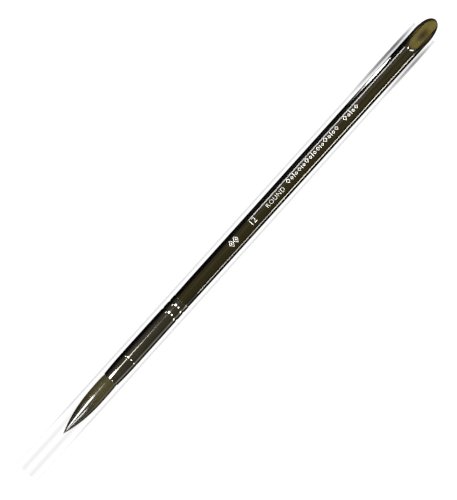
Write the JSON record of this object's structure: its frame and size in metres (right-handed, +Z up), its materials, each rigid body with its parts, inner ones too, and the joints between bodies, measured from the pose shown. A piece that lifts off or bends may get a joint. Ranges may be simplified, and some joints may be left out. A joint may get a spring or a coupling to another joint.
{
  "type": "artist's round brush in a clear protective sleeve",
  "caption": "Round brush with a pointed tuft, a crimped metal ferrule and a smoke acrylic handle with a slanted end, in a clear open-ended sleeve.",
  "frame": {"origin": "bottom centre of the brush and its sleeve together, on the flat strip that the sleeve lies on", "axes": "+X along the brush, from the tip of the tuft towards the slanted end of the handle; +Z up, the way the slanted cut faces"},
  "size_m": [0.2478, 0.012, 0.0119],
  "materials": {
    "smoke_acrylic": "cast acrylic, smoke grey with an olive cast, see-through at the cut end, polished",
    "plated_metal": "black nickel plate on drawn brass, mirror bright",
    "filament": "dark olive-brown tapered synthetic filaments, glossy along their length",
    "thread": "waxed white polyester thread",
    "resin": "hard amber epoxy",
    "glue": "set yellowish handle glue",
    "clear_plastic": "clear extruded plastic, thin walled, with fine draw lines",
    "white_ink": "pad-printed white ink on the handle, a little worn"
  },
  "bodies": {
    "brush": {"acrylic_handle": "smoke_acrylic", "ferrule": "plated_metal", "filament_root": "filament", "binding_thread": "thread", "epoxy_plug": "resin", "tenon_glue_film": "glue"},
    "tuft": {"filament_tuft": "filament"},
    "sleeve": {"clear_sleeve": "clear_plastic"}
  },
  "joints": [
    {"name": "sleeve_slide", "type": "slide", "parent": "brush", "child": "sleeve", "axis": [-1, 0, 0], "range_m": [-0.25, 0.221]},
    {"name": "tuft_flex", "type": "hinge", "parent": "brush", "child": "tuft", "pos_m": [-0.0727, 0, 0.00466], "axis": [0, 0, 1], "range_deg": [-6, 6], "stiffness_Nm_per_rad": 0.015}
  ]
}
